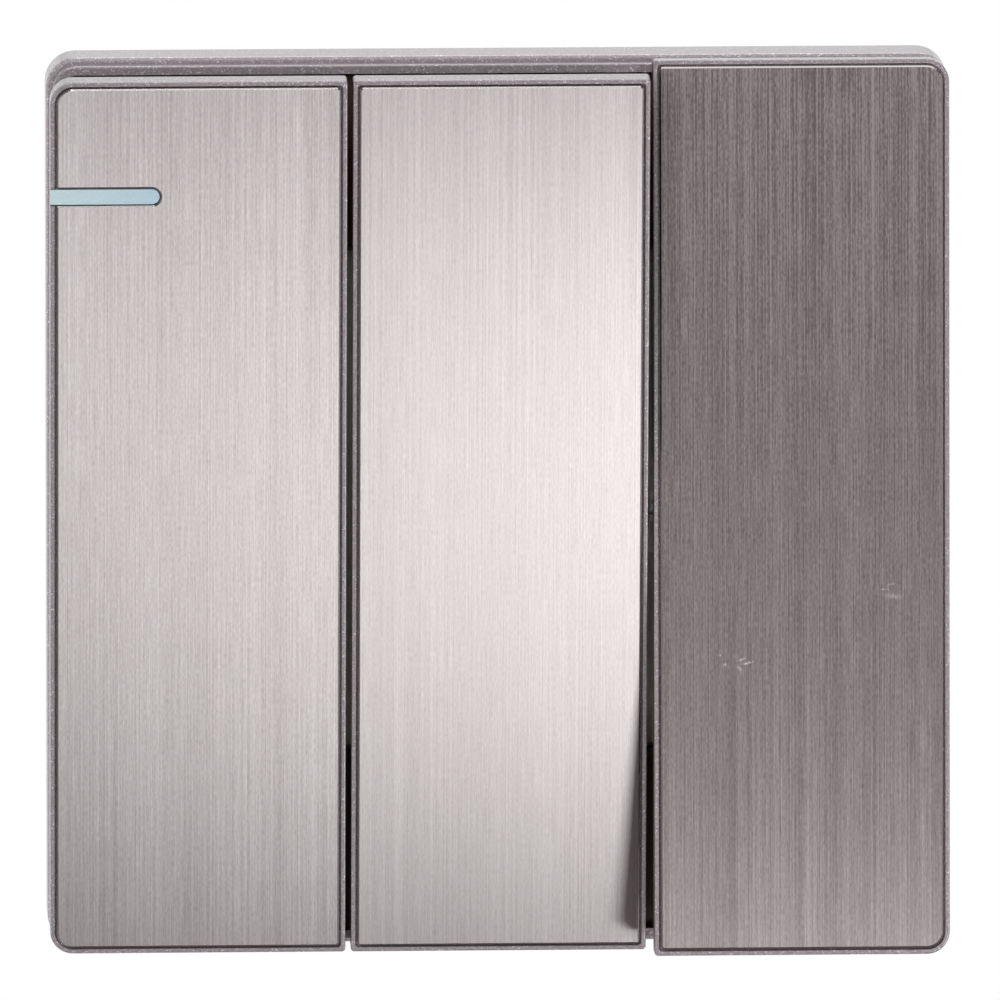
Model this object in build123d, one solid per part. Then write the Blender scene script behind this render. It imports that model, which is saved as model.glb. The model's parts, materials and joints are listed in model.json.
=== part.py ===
"""Three-gang rocker light switch for a square wall box, modelled as it comes apart on a bench.

Millimetres. X runs to the right, Z up, and Y into the wall, so the front faces -Y.
The origin is the centre of the steel yoke's rear face, which is drawn against the wall.
"Out" below is a distance from that wall plane towards the room, so out = -Y.
"""

import os
from math import cos, radians, sin

from build123d import *

GANGS = ["left", "middle", "right"]
TOP_OUT = {"left": 1, "middle": 1, "right": -1}  # which way each rocker is thrown at rest

# Front frame, a shallow tray that hides the yoke
FRAME_SIZE = 86.0
FRAME_DEPTH = 6.0
FRAME_CORNER_R = 2.9
FRAME_EDGE_R = 0.5
STEP_INSET = 0.6
STEP_RISE = 1.4
STEP_EDGE_R = 0.2
LIP_WIDTH = 1.45
RECESS_DEPTH = 1.8
FRAME_FLOOR = 1.4
WINDOW_GAP = 0.5
PRY_SLOT_WIDTH = 8.0
PRY_SLOT_HEIGHT = 1.2

# Snap hooks of the frame, in coined ledges on the yoke's edge
HOOK_X = 14.0
HOOK_WIDTH = 6.0
HOOK_LEG = 1.2
HOOK_CATCH = 0.8
HOOK_GAP = 0.2
FRAME_RIB_X = 28.0

# Rockers and their inset plates
ROCKER_GAP = 0.52
FRAME_MARGIN = 0.12
ROCKER_END_MARGIN = 0.1
ROCKER_STANDOFF = 6.0
ROCKER_TILT = 4.5
PIVOT_DEPTH = 4.5
SKIRT_DEPTH = 2.2
SKIRT_WALL = 1.2
OUTER_CORNER_R = 2.2
INNER_CORNER_R = 0.35
ROCKER_EDGE_R = 0.15
RIM_WIDTH = 0.42
GROOVE_WIDTH = 0.15
POCKET_DEPTH = 0.7
ROCKER_FLOOR = 0.75
PLATE_PROUD = 0.1
PLATE_BEVEL = 0.2
RIB_THICKNESS = 0.8
RIB_SETBACK = 0.2
RIB_SPACING = 8.0
RIB_CLEAR = 12.0

# Pale glow strip let into the left rocker's edge
STRIP_LENGTH = 10.4
STRIP_HEIGHT = 1.45
STRIP_DROP = 11.2
STRIP_SINK = 0.4
STRIP_GAP = 0.12

# Key carriers, which turn on trunnions in the mechanism cover
MECHANISM_INSET = 4.86  # from an outer rocker's inner edge to its mechanism's centre line
CARRIER_WIDTH = 7.0
ROOF_HEIGHT = 16.0
ROOF_THICKNESS = 1.15
CARRIER_TOP = 10.0
CARRIER_TIP = 7.0
CARRIER_REACH = 8.0
TRUNNION_R = 1.0
TRUNNION_GAP = 0.05
CLIP_WIDTH = 5.6
CLIP_LEG = 1.0
CLIP_CATCH = 0.6
CLIP_NOSE = 0.8
CLIP_GAP = 0.08

# Mechanism cover
COVER_THICKNESS = 1.5
CHEEK_THICKNESS = 1.4
CHEEK_GAP = 0.2
CHEEK_R = 1.8
CHEEK_FOOT = 11.0
SNAP_SLOT = 1.6
CARRIER_WINDOW = 13.0

# Spring and plunger in each carrier
BORE_R = 2.1
BORE_ROOF = 2.0
PLUNGER_GAP = 0.1
PLUNGER_HEAD_LENGTH = 2.7
PLUNGER_STEM_R = 1.3
PLUNGER_GUIDE = 0.8
CONTACT_CLEARANCE = 0.1
SPRING_R = 1.5
SPRING_WIRE = 0.42
SPRING_TURNS = 4

# Rocking contact on its saddle
CONTACT_TILT = 13.0
CONTACT_DEPTH = 7.5
ARM_THICKNESS = 0.8
ARM_WIDTH = 4.6
ARM_REACH = 7.3
ARM_CORNER_R = 1.15
SADDLE_R = 0.6
SADDLE_GAP = 0.03
TIP_Z = 6.0
TIP_R = 1.3
TIP_BASE = 0.3
TIP_DOME = 0.33
TIP_GAP = 0.03
FIXED_TIP_R = 1.5
FIXED_TIP_HEIGHT = 0.6

# Brass terminals with their wire tunnels and clamp screws
STRIP_METAL = 0.8
TERMINAL_WIDTH = 5.0
TUNNEL_WIDTH = 6.4
TUNNEL_HEIGHT = 6.6
TUNNEL_LENGTH = 8.0
TUNNEL_GAP = 0.2
WIRE_HOLE = 3.2
SCREW_R = 1.6
SCREW_HEAD_R = 2.5
SCREW_HEAD = 1.8
SCREW_SUNK = 0.4
SCREW_GAP = 0.05
SCREW_BITE = 0.8  # how far a clamp screw stops short of its wire hole's centre
DRIVE_WIDTH = 0.7
DRIVE_DEPTH = 0.8

# Rear housing
HOUSING_WALL = 1.2
HOUSING_HEIGHT = 48.0
HOUSING_DEPTH = 18.0
HOUSING_FLOOR = 2.0
HOUSING_EDGE = 1.0
HOUSING_CORNER_R = 1.5
SHOULDER = 4.2
COLLAR_WALL = 0.8
BAY_WIDTH = 8.4
ENTRY_WIDTH = 3.6
ENTRY_FUNNEL = 6.2
FUNNEL_DEPTH = 1.0
BARRIER_WIDTH = 1.6
BARRIER_HEIGHT = 1.6
BARRIER_SETBACK = 2.0

# Steel yoke
YOKE_SIDE_MARGIN = 5.0
YOKE_END_MARGIN = 9.5
YOKE_THICKNESS = 1.5
YOKE_CORNER_R = 5.0
YOKE_GAP = 0.2
MOUNT_SPACING = 60.3
MOUNT_SLOT_LENGTH = 7.0
MOUNT_HOLE_R = 2.15
BEAD_WIDTH = 3.0
BEAD_RISE = 0.5
BEAD_START = 7.0
BEAD_MARGIN = 5.5

# Screws that clamp cover, yoke and housing together
ASSEMBLY_R = 1.2
ASSEMBLY_HEAD_R = 1.9
ASSEMBLY_HEAD = 1.2
ASSEMBLY_LENGTH = 9.0

# Stations worked out from the sizes above
ROCKER_WIDTH = (FRAME_SIZE - 2 * FRAME_MARGIN - 2 * ROCKER_GAP) / 3
ROCKER_PITCH = ROCKER_WIDTH + ROCKER_GAP
ROCKER_HEIGHT = FRAME_SIZE - 2 * ROCKER_END_MARGIN
MECHANISM_PITCH = ROCKER_PITCH - ROCKER_WIDTH / 2 + MECHANISM_INSET
RIM_OUT = FRAME_DEPTH + ROCKER_STANDOFF
PIVOT_OUT = RIM_OUT - PIVOT_DEPTH
SKIRT_OUT = RIM_OUT - SKIRT_DEPTH
POCKET_OUT = RIM_OUT - POCKET_DEPTH
FLOOR_OUT = POCKET_OUT - ROCKER_FLOOR
ROOF_OUT = FLOOR_OUT - ROOF_THICKNESS
CARRIER_END = PIVOT_OUT - CARRIER_REACH
BORE_END = FLOOR_OUT - BORE_ROOF
COVER_OUT = YOKE_THICKNESS + COVER_THICKNESS
STEP_OUT = FRAME_DEPTH - STEP_RISE
RECESS_OUT = FRAME_DEPTH - RECESS_DEPTH
FRAME_BACK = RECESS_OUT - FRAME_FLOOR
ARM_BACK = SADDLE_R + SADDLE_GAP - CONTACT_DEPTH
ARM_FRONT = ARM_BACK + ARM_THICKNESS
PLUNGER_TIP = ARM_FRONT + CONTACT_CLEARANCE
PLUNGER_HEAD_END = CARRIER_END + PLUNGER_GUIDE
PLUNGER_HEAD_OUT = PLUNGER_HEAD_END + PLUNGER_HEAD_LENGTH
HOUSING_WIDTH = 2 * (MECHANISM_PITCH + BAY_WIDTH / 2 + HOUSING_WALL)
COLLAR_HEIGHT = HOUSING_HEIGHT - 2 * SHOULDER
BAY_HEIGHT = COLLAR_HEIGHT - 2 * COLLAR_WALL
BAY_FLOOR = HOUSING_FLOOR - HOUSING_DEPTH
TUNNEL_Z = (BAY_HEIGHT - TUNNEL_HEIGHT) / 2 - TUNNEL_GAP
YOKE_WIDTH = FRAME_SIZE - 2 * YOKE_SIDE_MARGIN
YOKE_HEIGHT = FRAME_SIZE - 2 * YOKE_END_MARGIN
ASSEMBLY_X = MECHANISM_PITCH / 2
ASSEMBLY_Z = (COLLAR_HEIGHT + HOUSING_HEIGHT) / 4


def slab(outline, low, high):
    """Extrude a front-view outline, x right and z up, between two distances out of the wall."""
    return extrude(Plane.XZ.offset(low) * outline, amount=high - low)


def side_slab(points, x_low, x_high):
    """Extrude a side-view outline of (out, z) points between two x positions."""
    outline = make_face(Polyline(*[(-out, z) for out, z in points], close=True))
    return extrude(Plane.YZ.offset(x_low) * outline, amount=x_high - x_low)


def turned(points, tip_r=0):
    """Revolve (radius, out) points round the Y axis, closing with a ball of tip_r at the last point."""
    line = Polyline(*[(r, -out) for r, out in points])
    if tip_r:
        end = points[-1][1] - tip_r
        half = tip_r * cos(radians(45))
        middle = (half, -(points[-1][1] - half))
        line += ThreePointArc((tip_r, -points[-1][1]), middle, (0, -end))
        points = points + [(0, end)]
    line += Line((0, -points[-1][1]), (0, -points[0][1]))
    return revolve(make_face(line), Axis.Y)


def along_x(radius, x_low, x_high, out, z=0.0):
    """A round bar that runs across the switch."""
    return extrude(Plane.YZ.offset(x_low) * Pos(-out, z) * Circle(radius), amount=x_high - x_low)


def rocked(piece, angle, out):
    """Turn a piece about the X direction, round an axis at this distance out; top out is positive."""
    return Pos(0, -out, 0) * Rot(angle, 0, 0) * Pos(0, out, 0) * piece


def rocker_x(gang):
    return (GANGS.index(gang) - 1) * ROCKER_PITCH


def mechanism_x(gang):
    return (GANGS.index(gang) - 1) * MECHANISM_PITCH


def rocker_outline(gang, inset):
    """A rocker's front outline pulled in by inset: large corners only where the switch itself ends."""
    outline = Rectangle(ROCKER_WIDTH - 2 * inset, ROCKER_HEIGHT - 2 * inset)
    outer = max(OUTER_CORNER_R - inset, INNER_CORNER_R)
    left_r = outer if gang == "left" else INNER_CORNER_R
    right_r = outer if gang == "right" else INNER_CORNER_R
    outline = fillet(outline.vertices().sort_by(Axis.X)[:2], left_r)
    outline = fillet(outline.vertices().sort_by(Axis.X)[-2:], right_r)
    return Pos(rocker_x(gang), 0) * outline


def strip_outline(extra):
    """The glow strip's outline, square at the rocker's outer edge and round at its inner end."""
    edge = rocker_x("left") - ROCKER_WIDTH / 2
    z = ROCKER_HEIGHT / 2 - STRIP_DROP
    radius = STRIP_HEIGHT / 2 + extra
    run = STRIP_LENGTH - STRIP_HEIGHT / 2
    bar = Pos(edge + run / 2, z) * Rectangle(run, 2 * radius)
    return bar + Pos(edge + run, z) * Circle(radius)


def rocker_ribs(gang):
    """Shallow stiffening ribs behind a rocker's floor, clear of its key carrier."""
    inner_width = ROCKER_WIDTH - 2 * SKIRT_WALL
    inner_height = ROCKER_HEIGHT / 2 - SKIRT_WALL
    count = int((inner_height - RIB_CLEAR) / RIB_SPACING)
    run = inner_height - RIB_CLEAR
    ribs = Sketch()
    for side in (1, -1):
        for step in range(count + 1):
            z = side * (RIB_CLEAR + RIB_THICKNESS / 2 + step * RIB_SPACING)
            ribs += Pos(0, z) * Rectangle(inner_width, RIB_THICKNESS)
        for x in (-RIB_SPACING, 0, RIB_SPACING):
            ribs += Pos(x, side * (RIB_CLEAR + run / 2)) * Rectangle(RIB_THICKNESS, run)
    return slab(Pos(rocker_x(gang), 0) * ribs, SKIRT_OUT + RIB_SETBACK, FLOOR_OUT)


def carrier_clips(gang):
    """Two hooks behind a rocker that snap round the upper and lower edge of its key carrier."""
    x = mechanism_x(gang)
    root = ROOF_HEIGHT / 2 + CLIP_GAP
    catch = ROOF_OUT - CLIP_GAP
    profile = [
        (FLOOR_OUT, root),
        (FLOOR_OUT, root + CLIP_LEG),
        (catch - CLIP_NOSE, root + CLIP_LEG),
        (catch - CLIP_NOSE, root),
        (catch, root - CLIP_CATCH),
        (catch, root),
    ]
    upper = side_slab(profile, x - CLIP_WIDTH / 2, x + CLIP_WIDTH / 2)
    lower = side_slab([(out, -z) for out, z in profile], x - CLIP_WIDTH / 2, x + CLIP_WIDTH / 2)
    return [upper, lower]


def make_rocker(gang):
    """The moulded key: a thin tray with a raised rim, a pocket for the plate, and a ribbed, clipped back."""
    body = slab(rocker_outline(gang, 0), SKIRT_OUT, RIM_OUT)
    body = fillet(body.faces().sort_by(Axis.Y)[0].edges(), ROCKER_EDGE_R)
    body -= slab(rocker_outline(gang, RIM_WIDTH), POCKET_OUT, RIM_OUT)
    body -= slab(rocker_outline(gang, SKIRT_WALL), SKIRT_OUT, FLOOR_OUT)
    body += rocker_ribs(gang)
    for clip in carrier_clips(gang):
        body += clip
    if gang == "left":
        body -= slab(strip_outline(STRIP_GAP), POCKET_OUT - STRIP_SINK, RIM_OUT)
    return body


def make_face_plate(gang):
    """The brushed plate, set in the rocker's pocket with a fine groove round it and a bevelled edge."""
    plate = slab(rocker_outline(gang, RIM_WIDTH + GROOVE_WIDTH), POCKET_OUT, RIM_OUT + PLATE_PROUD)
    if gang == "left":
        plate -= slab(strip_outline(STRIP_GAP), POCKET_OUT, RIM_OUT + PLATE_PROUD)
    front = plate.faces().sort_by(Axis.Y)[0]
    return chamfer(front.edges(), PLATE_BEVEL)


def make_glow_strip():
    return slab(strip_outline(0), POCKET_OUT - STRIP_SINK, RIM_OUT)


def make_key_carrier(gang):
    """The inner rocker: a roof plate that the key clips on, trunnions and a tapered spring barrel."""
    x = mechanism_x(gang)
    half = CARRIER_WIDTH / 2
    barrel = [
        (ROOF_OUT, CARRIER_TOP / 2),
        (CARRIER_END, CARRIER_TIP / 2),
        (CARRIER_END, -CARRIER_TIP / 2),
        (ROOF_OUT, -CARRIER_TOP / 2),
    ]
    carrier = slab(Pos(x, 0) * Rectangle(CARRIER_WIDTH, ROOF_HEIGHT), ROOF_OUT, FLOOR_OUT)
    carrier += side_slab(barrel, x - half, x + half)
    reach = half + CHEEK_GAP + CHEEK_THICKNESS
    carrier += along_x(TRUNNION_R, x - reach, x + reach, PIVOT_OUT)
    carrier -= slab(Pos(x, 0) * Circle(BORE_R), CARRIER_END, BORE_END)
    return carrier


def make_plunger(gang):
    """A turned plunger: its head slides in the carrier's bore and its round tip rides on the contact arm."""
    head_r = BORE_R - PLUNGER_GAP
    shoulder = PLUNGER_TIP + PLUNGER_STEM_R
    profile = [
        (0, PLUNGER_HEAD_OUT),
        (head_r, PLUNGER_HEAD_OUT),
        (head_r, PLUNGER_HEAD_END),
        (PLUNGER_STEM_R, PLUNGER_HEAD_END),
        (PLUNGER_STEM_R, shoulder),
    ]
    return Pos(mechanism_x(gang), 0, 0) * turned(profile, tip_r=PLUNGER_STEM_R)


def make_plunger_spring(gang):
    """A short coil between the carrier's bore and the plunger's head."""
    wire_r = SPRING_WIRE / 2
    length = BORE_END - PLUNGER_HEAD_OUT - SPRING_WIRE
    path = Helix(pitch=length / SPRING_TURNS, height=length, radius=SPRING_R)
    coil = sweep(Plane(path @ 0, z_dir=path % 0) * Circle(wire_r), path)
    return Pos(mechanism_x(gang), -PLUNGER_HEAD_OUT - wire_r, 0) * Rot(90, 0, 0) * coil


def make_contact_arm(gang):
    """The rocking contact: a flat brass bar with rounded ends that tips on the common terminal's saddle."""
    bar = RectangleRounded(ARM_WIDTH, 2 * ARM_REACH, ARM_CORNER_R)
    return slab(Pos(mechanism_x(gang), 0) * bar, ARM_BACK, ARM_FRONT)


def make_contact_tip(gang):
    """A domed silver tip welded behind the arm's upper end."""
    base = ARM_BACK - TIP_BASE
    crown = base - TIP_DOME
    bow = ThreePointArc((TIP_R, -base), (TIP_R / 2, dome_height(TIP_R / 2) - base), (0, -crown))
    line = Polyline((0, -ARM_BACK), (TIP_R, -ARM_BACK), (TIP_R, -base)) + bow
    line += Line((0, -crown), (0, -ARM_BACK))
    return Pos(mechanism_x(gang), 0, TIP_Z) * revolve(make_face(line), Axis.Y)


def dome_radius():
    return (TIP_R**2 + TIP_DOME**2) / (2 * TIP_DOME)


def dome_height(radius):
    """How far the tip's dome stands above its base at this radius."""
    return (dome_radius() ** 2 - radius**2) ** 0.5 - dome_radius() + TIP_DOME


def closed_tip():
    """The moving tip's crown when its contact is closed, as (out, z), from the turned dome's centre."""
    centre = ARM_BACK - TIP_BASE - TIP_DOME + dome_radius() + CONTACT_DEPTH
    tilt = radians(CONTACT_TILT)
    out = centre * cos(tilt) - TIP_Z * sin(tilt) - CONTACT_DEPTH - dome_radius()
    z = centre * sin(tilt) + TIP_Z * cos(tilt)
    return out, z


def fixed_tip_out():
    return closed_tip()[0] - TIP_GAP


def make_fixed_tips():
    """The three fixed silver tips, one on each load terminal."""
    top = fixed_tip_out()
    z = closed_tip()[1]
    return [
        slab(Pos(mechanism_x(gang), z) * Circle(FIXED_TIP_R), top - FIXED_TIP_HEIGHT, top)
        for gang in GANGS
    ]


def ledge_out():
    return fixed_tip_out() - FIXED_TIP_HEIGHT - STRIP_METAL


def make_tunnel(x, z):
    """A brass wire tunnel that stands on the bay's floor, with its clamp screw's hole in the outer wall."""
    side = 1 if z > 0 else -1
    block = slab(Pos(x, z) * Rectangle(TUNNEL_WIDTH, TUNNEL_HEIGHT), BAY_FLOOR, BAY_FLOOR + TUNNEL_LENGTH)
    block -= slab(Pos(x, z) * Rectangle(WIRE_HOLE, WIRE_HOLE), BAY_FLOOR, BAY_FLOOR + TUNNEL_LENGTH)
    hole = Plane((x, -screw_out(), z), z_dir=(0, 0, side)) * Circle(SCREW_R + SCREW_GAP)
    return block - extrude(hole, amount=TUNNEL_HEIGHT)


def screw_out():
    return BAY_FLOOR + TUNNEL_LENGTH / 2


def make_load_terminal(gang):
    """A strip under the fixed tip, joined to the wire tunnel at the top of the bay."""
    x = mechanism_x(gang)
    start = closed_tip()[1] - FIXED_TIP_R
    end = TUNNEL_Z - TUNNEL_HEIGHT / 2
    strip = Pos(x, (start + end) / 2) * Rectangle(TERMINAL_WIDTH, end - start)
    return slab(strip, ledge_out(), ledge_out() + STRIP_METAL) + make_tunnel(x, TUNNEL_Z)


def make_common_terminal(gang):
    """The lower wire tunnel, a strip along the bay's floor and the saddle the contact rocks on."""
    x = mechanism_x(gang)
    end = TUNNEL_HEIGHT / 2 - TUNNEL_Z
    strip = Pos(x, (end + SADDLE_R) / 2) * Rectangle(TERMINAL_WIDTH, SADDLE_R - end)
    terminal = slab(strip, BAY_FLOOR, BAY_FLOOR + STRIP_METAL) + make_tunnel(x, -TUNNEL_Z)
    terminal += slab(Pos(x, 0) * Rectangle(ARM_WIDTH, 2 * SADDLE_R), BAY_FLOOR + STRIP_METAL, -CONTACT_DEPTH)
    terminal += along_x(SADDLE_R, x - ARM_WIDTH / 2, x + ARM_WIDTH / 2, -CONTACT_DEPTH)
    return terminal


def screw(head_r, head, shank_r, length):
    """A cheese-head screw along +Z with a straight slot; the head's bearing face is at z = 0."""
    body = extrude(Circle(head_r), amount=head) + extrude(Circle(shank_r), amount=-length)
    return body - Pos(0, 0, head - DRIVE_DEPTH / 2) * Box(2 * head_r, DRIVE_WIDTH, DRIVE_DEPTH)


def make_terminal_screws():
    """One clamp screw for each wire tunnel, its head sunk in the housing's upper or lower wall."""
    seat = HOUSING_HEIGHT / 2 - SCREW_SUNK - SCREW_HEAD
    length = seat - TUNNEL_Z - SCREW_BITE
    one = screw(SCREW_HEAD_R, SCREW_HEAD, SCREW_R, length)
    screws = []
    for gang in GANGS:
        for turn, side in ((0, 1), (180, -1)):
            screws.append(Pos(mechanism_x(gang), -screw_out(), side * seat) * Rot(turn, 0, 0) * one)
    return screws


def housing_outline():
    return RectangleRounded(HOUSING_WIDTH, HOUSING_HEIGHT, HOUSING_CORNER_R)


def assembly_places():
    return [Pos(sx * ASSEMBLY_X, 0, sz * ASSEMBLY_Z) for sx in (-1, 1) for sz in (-1, 1)]


def make_assembly_screws():
    """Four screws through cover and yoke into the housing's shoulders."""
    one = Rot(90, 0, 0) * screw(ASSEMBLY_HEAD_R, ASSEMBLY_HEAD, ASSEMBLY_R, ASSEMBLY_LENGTH)
    return [place * Pos(0, -COVER_OUT, 0) * one for place in assembly_places()]


def assembly_holes(low, high):
    hole = slab(Circle(ASSEMBLY_R + SCREW_GAP), low, high)
    return [place * hole for place in assembly_places()]


def make_mechanism_cover():
    """The housing's moulded lid: a plate in front of the yoke with two snap bearings for each gang."""
    cover = slab(housing_outline(), YOKE_THICKNESS, COVER_OUT)
    profile = [
        (COVER_OUT, CHEEK_FOOT / 2),
        (PIVOT_OUT, CHEEK_R),
        (PIVOT_OUT, -CHEEK_R),
        (COVER_OUT, -CHEEK_FOOT / 2),
    ]
    inner = CARRIER_WIDTH / 2 + CHEEK_GAP
    outer = inner + CHEEK_THICKNESS
    for gang in GANGS:
        x = mechanism_x(gang)
        for low in (x - outer, x + inner):
            high = low + CHEEK_THICKNESS
            cover += side_slab(profile, low, high) + along_x(CHEEK_R, low, high, PIVOT_OUT)
        cover -= slab(Pos(x, 0) * Rectangle(2 * inner, CARRIER_WINDOW), YOKE_THICKNESS, COVER_OUT)
        cover -= along_x(TRUNNION_R + TRUNNION_GAP, x - outer, x + outer, PIVOT_OUT)
        cover -= slab(Pos(x, 0) * Rectangle(2 * outer, SNAP_SLOT), PIVOT_OUT, PIVOT_OUT + CHEEK_R)
    for hole in assembly_holes(YOKE_THICKNESS, COVER_OUT):
        cover -= hole
    return cover


def frame_outline(inset):
    side = FRAME_SIZE - 2 * inset
    return RectangleRounded(side, side, max(FRAME_CORNER_R - inset, INNER_CORNER_R))


def frame_hooks():
    """Four legs behind the frame's floor whose noses snap under the yoke's coined ledges."""
    edge = YOKE_HEIGHT / 2 + HOOK_GAP
    catch = YOKE_THICKNESS / 2 - HOOK_GAP / 2
    profile = [
        (FRAME_BACK, edge),
        (FRAME_BACK, edge + HOOK_LEG),
        (0, edge + HOOK_LEG),
        (0, edge),
        (catch, edge - HOOK_CATCH),
        (catch, edge),
    ]
    hooks = []
    for side in (1, -1):
        for x in (-HOOK_X, HOOK_X):
            points = [(out, side * z) for out, z in profile]
            hooks.append(side_slab(points, x - HOOK_WIDTH / 2, x + HOOK_WIDTH / 2))
    return hooks


def frame_ribs():
    """Stiffening ribs behind the frame's floor, between the yoke's edges and the lip."""
    ribs = Sketch()
    for edge, turn in ((YOKE_HEIGHT / 2, 0), (YOKE_WIDTH / 2, 90)):
        start = edge + HOOK_GAP
        end = FRAME_SIZE / 2 - LIP_WIDTH
        for side in (1, -1):
            for x in (-FRAME_RIB_X, FRAME_RIB_X):
                rib = Pos(x, side * (start + end) / 2) * Rectangle(RIB_THICKNESS, end - start)
                ribs += Rot(0, 0, turn) * rib
    return slab(ribs, RIB_SETBACK, FRAME_BACK)


def make_front_frame():
    """The square bezel: a tray with a stepped lip, a recessed and ribbed floor, a window and snap hooks."""
    frame = slab(frame_outline(0), 0, STEP_OUT)
    frame = fillet(frame.faces().sort_by(Axis.Y)[0].edges(), FRAME_EDGE_R)
    step = slab(frame_outline(STEP_INSET), STEP_OUT, FRAME_DEPTH)
    frame += fillet(step.faces().sort_by(Axis.Y)[0].edges(), STEP_EDGE_R)
    frame -= slab(frame_outline(LIP_WIDTH), RECESS_OUT, FRAME_DEPTH)
    frame -= slab(frame_outline(LIP_WIDTH), 0, FRAME_BACK)
    window = Rectangle(HOUSING_WIDTH + 2 * WINDOW_GAP, HOUSING_HEIGHT + 2 * WINDOW_GAP)
    frame -= slab(window, FRAME_BACK, RECESS_OUT)
    for hook in frame_hooks():
        frame += hook
    frame += frame_ribs()
    pry = Pos(0, LIP_WIDTH / 2 - FRAME_SIZE / 2) * Rectangle(PRY_SLOT_WIDTH, LIP_WIDTH)
    return frame - slab(pry, 0, PRY_SLOT_HEIGHT)


def yoke_beads(extra, low, high):
    """Pressed stiffening beads above and below each mounting slot."""
    run = YOKE_HEIGHT / 2 - BEAD_MARGIN - BEAD_START
    bead = SlotOverall(run - 2 * extra, BEAD_WIDTH - 2 * extra, rotation=90)
    places = [(sx * MOUNT_SPACING / 2, sz * (BEAD_START + run / 2)) for sx in (-1, 1) for sz in (-1, 1)]
    return [slab(Pos(*place) * bead, low, high) for place in places]


def make_mounting_yoke():
    """The pressed steel plate that is screwed to the wall box."""
    yoke = slab(RectangleRounded(YOKE_WIDTH, YOKE_HEIGHT, YOKE_CORNER_R), 0, YOKE_THICKNESS)
    for bead in yoke_beads(0, YOKE_THICKNESS, YOKE_THICKNESS + BEAD_RISE):
        yoke += bead
    for groove in yoke_beads(BEAD_RISE, 0, BEAD_RISE):
        yoke -= groove
    opening = Rectangle(HOUSING_WIDTH + 2 * YOKE_GAP, COLLAR_HEIGHT + 2 * YOKE_GAP)
    yoke -= slab(opening, 0, YOKE_THICKNESS)
    slot = SlotOverall(MOUNT_SLOT_LENGTH, 2 * MOUNT_HOLE_R)
    for side in (-1, 1):
        yoke -= slab(Pos(side * MOUNT_SPACING / 2, 0) * slot, 0, YOKE_THICKNESS)
        for x in (-HOOK_X, HOOK_X):
            ledge = Rectangle(HOOK_WIDTH + 2 * HOOK_GAP, 2 * HOOK_CATCH)
            yoke -= slab(Pos(x, side * YOKE_HEIGHT / 2) * ledge, 0, YOKE_THICKNESS / 2)
    for hole in assembly_holes(0, YOKE_THICKNESS):
        yoke -= hole
    return yoke


def make_rear_housing():
    """The moulded box behind the wall: three bays with ledges, wire entries and screw windows."""
    body = slab(housing_outline(), -HOUSING_DEPTH, 0)
    body = chamfer(body.faces().sort_by(Axis.Y)[-1].edges(), HOUSING_EDGE)
    body += slab(Rectangle(HOUSING_WIDTH, COLLAR_HEIGHT), 0, YOKE_THICKNESS)
    ledge_start = closed_tip()[1] - FIXED_TIP_R
    tunnel_edge = TUNNEL_Z - TUNNEL_HEIGHT / 2
    for gang in GANGS:
        x = mechanism_x(gang)
        bay = slab(Pos(x, 0) * Rectangle(BAY_WIDTH, BAY_HEIGHT), BAY_FLOOR, YOKE_THICKNESS)
        ledge = Pos(x, (ledge_start + tunnel_edge) / 2) * Rectangle(BAY_WIDTH, tunnel_edge - ledge_start)
        body -= bay - slab(ledge, BAY_FLOOR, ledge_out())
        for side in (1, -1):
            body -= wire_entry(x, side * TUNNEL_Z) + screw_window(x, side)
    for x in (-ASSEMBLY_X, ASSEMBLY_X):
        barrier = Pos(x, 0) * Rectangle(BARRIER_WIDTH, HOUSING_HEIGHT - 2 * BARRIER_SETBACK)
        body += slab(barrier, -HOUSING_DEPTH - BARRIER_HEIGHT, -HOUSING_DEPTH)
    for hole in assembly_holes(COVER_OUT - ASSEMBLY_LENGTH, 0):
        body -= hole
    return body


def wire_entry(x, z):
    """A square wire hole through the housing's floor with a funnel at its mouth."""
    back = -HOUSING_DEPTH
    hole = slab(Pos(x, z) * Rectangle(ENTRY_WIDTH, ENTRY_WIDTH), back, BAY_FLOOR)
    mouth = Plane.XZ.offset(back) * Pos(x, z) * Rectangle(ENTRY_FUNNEL, ENTRY_FUNNEL)
    throat = Plane.XZ.offset(back + FUNNEL_DEPTH) * Pos(x, z) * Rectangle(ENTRY_WIDTH, ENTRY_WIDTH)
    return hole + loft([mouth, throat])


def screw_window(x, side):
    """A square opening in the housing's upper or lower wall that a clamp screw's head fills."""
    width = 2 * (SCREW_HEAD_R + SCREW_GAP)
    outer = HOUSING_HEIGHT / 2
    inner = BAY_HEIGHT / 2
    window = Pos(x, side * (outer + inner) / 2) * Rectangle(width, outer - inner)
    return slab(window, screw_out() - width / 2, screw_out() + width / 2)


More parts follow.
